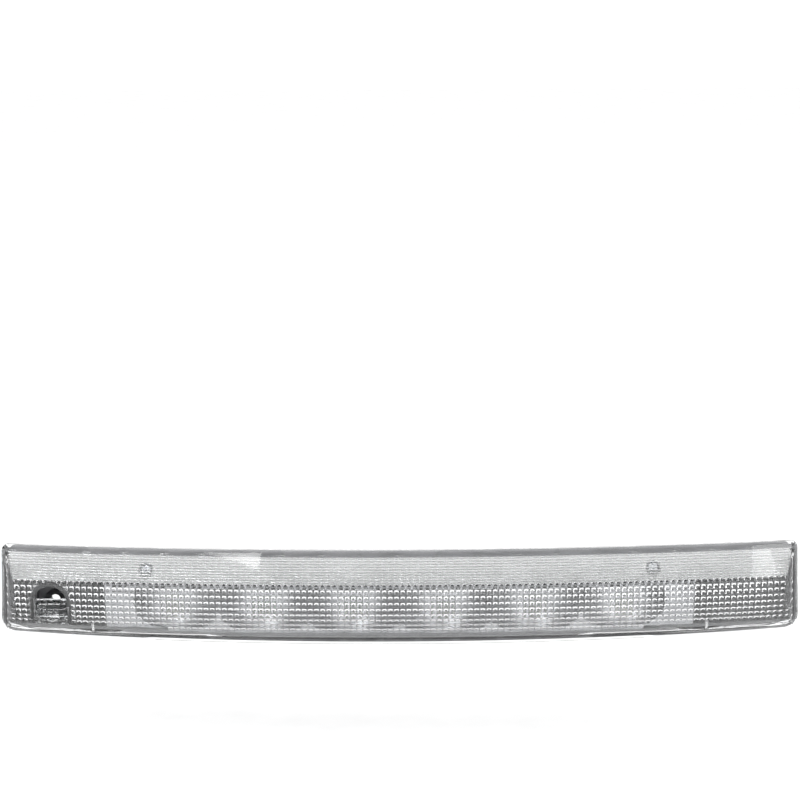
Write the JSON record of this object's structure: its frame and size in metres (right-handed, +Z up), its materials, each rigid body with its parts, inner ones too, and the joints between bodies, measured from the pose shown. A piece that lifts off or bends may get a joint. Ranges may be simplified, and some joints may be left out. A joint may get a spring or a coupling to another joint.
{
  "type": "third brake light",
  "caption": "Bowed high-mounted brake light with a clear prismatic lens, an LED reflector chamber, a washer jet tunnel at one end and rear mounting studs.",
  "frame": {"origin": "middle of the line between the two mounting studs, on the face where their seals meet the body panel", "axes": "+X along the lamp, +Y into the vehicle along the studs, +Z up; the lens faces -Y"},
  "size_m": [0.35, 0.0534, 0.0422],
  "materials": {
    "clear_lens": "clear moulded acrylic, polished outside, prisms inside",
    "sealant": "cured bead",
    "housing_plastic": "dark grey, fine grain",
    "pale_trim": "pale silver",
    "metallised": "vacuum metallised",
    "board": "solder mask",
    "led_package": "satin",
    "led_dome": "clear silicone",
    "chip_resistor": "glazed",
    "black_moulding": "moulded epoxy",
    "capacitor_can": "drawn can",
    "terminal_metal": "tinned",
    "solder": "bright solder",
    "connector_plastic": "fine grain",
    "seal_rubber": "silicone",
    "zinc_steel": "zinc plated",
    "black_rubber": "moulded",
    "foam_rubber": "closed-cell foam",
    "membrane": "white membrane"
  },
  "bodies": {
    "root": {"outer_lens": "clear_lens", "lens_sealant": "sealant", "housing": "housing_plastic", "upper_trim": "pale_trim", "reflector": "metallised", "circuit_board": "board", "led_bodies": "led_package", "led_domes": "led_dome", "resistors": "chip_resistor", "polarity_diode": "black_moulding", "voltage_regulator": "black_moulding", "smoothing_capacitor": "capacitor_can", "terminal_blades": "terminal_metal", "solder_joints": "solder", "connector_socket": "connector_plastic", "connector_seal": "seal_rubber", "mounting_studs": "zinc_steel", "stud_seals": "black_rubber", "perimeter_gasket": "foam_rubber", "jet_grommet": "black_rubber", "board_screws": "zinc_steel", "trim_screws": "zinc_steel", "vent_cap": "connector_plastic", "vent_membrane": "membrane"}
  },
  "joints": []
}
